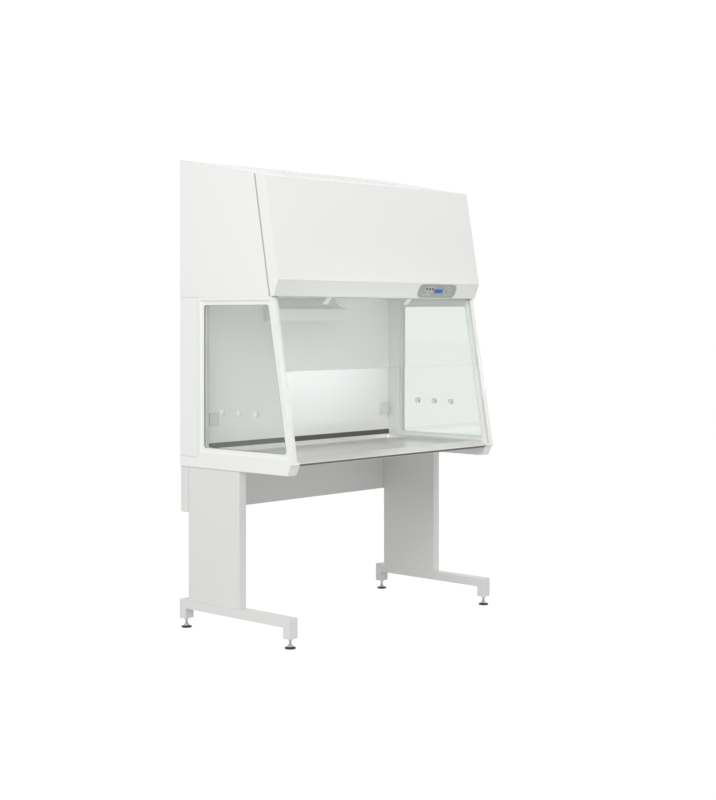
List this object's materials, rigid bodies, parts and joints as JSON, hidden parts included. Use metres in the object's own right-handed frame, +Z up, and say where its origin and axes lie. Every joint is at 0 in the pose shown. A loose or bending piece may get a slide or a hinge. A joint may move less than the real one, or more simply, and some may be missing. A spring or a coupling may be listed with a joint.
{
  "type": "laminar flow hood",
  "caption": "White bench hood on a two-legged stand: blower and filter hood above, glazed work chamber with a sliding front sash, sunken steel worktop, keypad and display on the chamfer.",
  "frame": {"origin": "on the floor under the middle of the object's width and depth", "axes": "+X to the user's right, +Y to the rear wall, +Z up; the sash, the control panel and the open front face -Y"},
  "size_m": [1.34, 0.7024, 2.0476],
  "materials": {
    "white_enamel": "smooth white powder coat",
    "side_frame_enamel": "smooth white enamel",
    "stand_enamel": "smooth off-white powder coat",
    "chamber_enamel": "smooth white powder coat",
    "stainless_steel": "fine brushed",
    "cap_grey": "satin light grey",
    "clear_glass": "clear, faintly green, polished",
    "bead_grey": "matt grey",
    "port_plug_plastic": "matt white",
    "galvanised_sheet": "galvanised, dull",
    "socket_plastic": "satin white",
    "tube_glass": "clear lamp glass",
    "holder_plastic": "satin white",
    "zinc_plated_steel": "zinc plated",
    "filter_frame_aluminium": "mill finish",
    "filter_paper": "pleated, matt",
    "prefilter_fleece": "loose fleece",
    "fan_aluminium": "pressed sheet",
    "motor_iron": "dark paint",
    "panel_grey": "satin grey",
    "keypad_grey": "matt pale grey",
    "display_blue": "glossy dark blue window",
    "ring_metal": "satin chrome",
    "button_black": "satin black",
    "key_green": "matt green",
    "key_blue": "matt blue",
    "key_red": "matt red",
    "key_blue_ring": "matt blue",
    "key_yellow": "matt yellow",
    "key_light_blue": "matt light blue"
  },
  "bodies": {
    "cabinet": {"diffuser": "chamber_enamel", "fan_bracket": "galvanised_sheet", "fan_deck": "galvanised_sheet", "fan_motor": "motor_iron", "filter_frame": "filter_frame_aluminium", "filter_pleats": "filter_paper", "filter_shelf": "galvanised_sheet", "front_bulkhead": "galvanised_sheet", "glazing_beads": "bead_grey", "hinge_pins": "galvanised_sheet", "hood_back_panel": "white_enamel", "intake_grille": "white_enamel", "lamp_holders": "holder_plastic", "lamp_housing": "chamber_enamel", "lamp_tube": "tube_glass", "left_column": "stand_enamel", "left_foot_frame": "stand_enamel", "left_hood_panel": "white_enamel", "left_side_frame": "side_frame_enamel", "left_side_glass": "clear_glass", "lock_nuts": "zinc_plated_steel", "lower_back_panel": "white_enamel", "pillar_covers": "white_enamel", "port_plugs": "port_plug_plastic", "prefilter": "prefilter_fleece", "rail_caps": "cap_grey", "rear_beam": "stand_enamel", "rear_wall": "chamber_enamel", "right_column": "stand_enamel", "right_foot_frame": "stand_enamel", "right_hood_panel": "white_enamel", "right_side_frame": "side_frame_enamel", "right_side_glass": "clear_glass", "roof_panel": "white_enamel", "sash_guides": "bead_grey", "socket_bases": "socket_plastic", "worktop": "stainless_steel", "worktop_bearers": "galvanised_sheet"},
    "sash": {"sash_pane": "clear_glass", "sash_glides": "bead_grey"},
    "cover": {"front_cover": "white_enamel", "control_plate": "panel_grey", "keypad_field": "keypad_grey", "display": "display_blue", "button_ring": "ring_metal", "control_box": "galvanised_sheet"},
    "lamp_key_body": {"lamp_key": "key_green"},
    "light_key_body": {"light_key": "key_blue"},
    "stop_key_body": {"stop_key": "key_red"},
    "fan_key_body": {"fan_key": "key_blue_ring"},
    "timer_key_body": {"timer_key": "key_yellow"},
    "power_key_body": {"power_key": "key_light_blue"},
    "round_button_body": {"round_button": "button_black"},
    "left_socket_lid_body": {"left_socket_lid": "socket_plastic"},
    "right_socket_lid_body": {"right_socket_lid": "socket_plastic"},
    "fan_impeller_body": {"fan_impeller": "fan_aluminium"},
    "levelling_foot_front_left_body": {"levelling_foot_front_left": "zinc_plated_steel"},
    "levelling_foot_front_right_body": {"levelling_foot_front_right": "zinc_plated_steel"},
    "levelling_foot_rear_left_body": {"levelling_foot_rear_left": "zinc_plated_steel"},
    "levelling_foot_rear_right_body": {"levelling_foot_rear_right": "zinc_plated_steel"}
  },
  "joints": [
    {"name": "sash_slide", "type": "slide", "parent": "cabinet", "child": "sash", "axis": [0, 0.1736, 0.9848], "range_m": [-0.378, 0.06]},
    {"name": "cover_hinge", "type": "hinge", "parent": "cabinet", "child": "cover", "pos_m": [0, -0.12979, 1.95861], "axis": [-1, 0, 0], "range_deg": [0, 60]},
    {"name": "left_socket_lid_hinge", "type": "hinge", "parent": "cabinet", "child": "left_socket_lid_body", "pos_m": [-0.549, 0.25585, 0.9335], "axis": [-1, 0, 0], "range_deg": [0, 100], "stiffness_Nm_per_rad": 0.02, "springref_deg": -20.05},
    {"name": "right_socket_lid_hinge", "type": "hinge", "parent": "cabinet", "child": "right_socket_lid_body", "pos_m": [0.588, 0.25585, 0.9335], "axis": [-1, 0, 0], "range_deg": [0, 100], "stiffness_Nm_per_rad": 0.02, "springref_deg": -20.05},
    {"name": "lamp_key_press", "type": "slide", "parent": "cover", "child": "lamp_key_body", "axis": [0, 0.9276, 0.3737], "range_m": [0, 0.0008], "stiffness_N_per_m": 1200, "springref_m": -0.0004},
    {"name": "light_key_press", "type": "slide", "parent": "cover", "child": "light_key_body", "axis": [0, 0.9276, 0.3737], "range_m": [0, 0.0008], "stiffness_N_per_m": 1200, "springref_m": -0.0004},
    {"name": "stop_key_press", "type": "slide", "parent": "cover", "child": "stop_key_body", "axis": [0, 0.9276, 0.3737], "range_m": [0, 0.0008], "stiffness_N_per_m": 1200, "springref_m": -0.0004},
    {"name": "fan_key_press", "type": "slide", "parent": "cover", "child": "fan_key_body", "axis": [0, 0.9276, 0.3737], "range_m": [0, 0.0008], "stiffness_N_per_m": 1200, "springref_m": -0.0004},
    {"name": "timer_key_press", "type": "slide", "parent": "cover", "child": "timer_key_body", "axis": [0, 0.9276, 0.3737], "range_m": [0, 0.0008], "stiffness_N_per_m": 1200, "springref_m": -0.0004},
    {"name": "power_key_press", "type": "slide", "parent": "cover", "child": "power_key_body", "axis": [0, 0.9276, 0.3737], "range_m": [0, 0.0008], "stiffness_N_per_m": 1200, "springref_m": -0.0004},
    {"name": "round_button_press", "type": "slide", "parent": "cover", "child": "round_button_body", "axis": [0, 0.9276, 0.3737], "range_m": [0, 0.002], "stiffness_N_per_m": 900, "springref_m": -0.0006},
    {"name": "fan_spin", "type": "hinge", "parent": "cabinet", "child": "fan_impeller_body", "pos_m": [0, 0.06, 1.64], "axis": [0, 0, 1], "continuous": true},
    {"name": "front_left_foot_screw", "type": "slide", "parent": "cabinet", "child": "levelling_foot_front_left_body", "axis": [0, 0, 1], "range_m": [-0.01, 0.012]},
    {"name": "front_right_foot_screw", "type": "slide", "parent": "cabinet", "child": "levelling_foot_front_right_body", "axis": [0, 0, 1], "range_m": [-0.01, 0.012]},
    {"name": "rear_left_foot_screw", "type": "slide", "parent": "cabinet", "child": "levelling_foot_rear_left_body", "axis": [0, 0, 1], "range_m": [-0.01, 0.012]},
    {"name": "rear_right_foot_screw", "type": "slide", "parent": "cabinet", "child": "levelling_foot_rear_right_body", "axis": [0, 0, 1], "range_m": [-0.01, 0.012]}
  ]
}
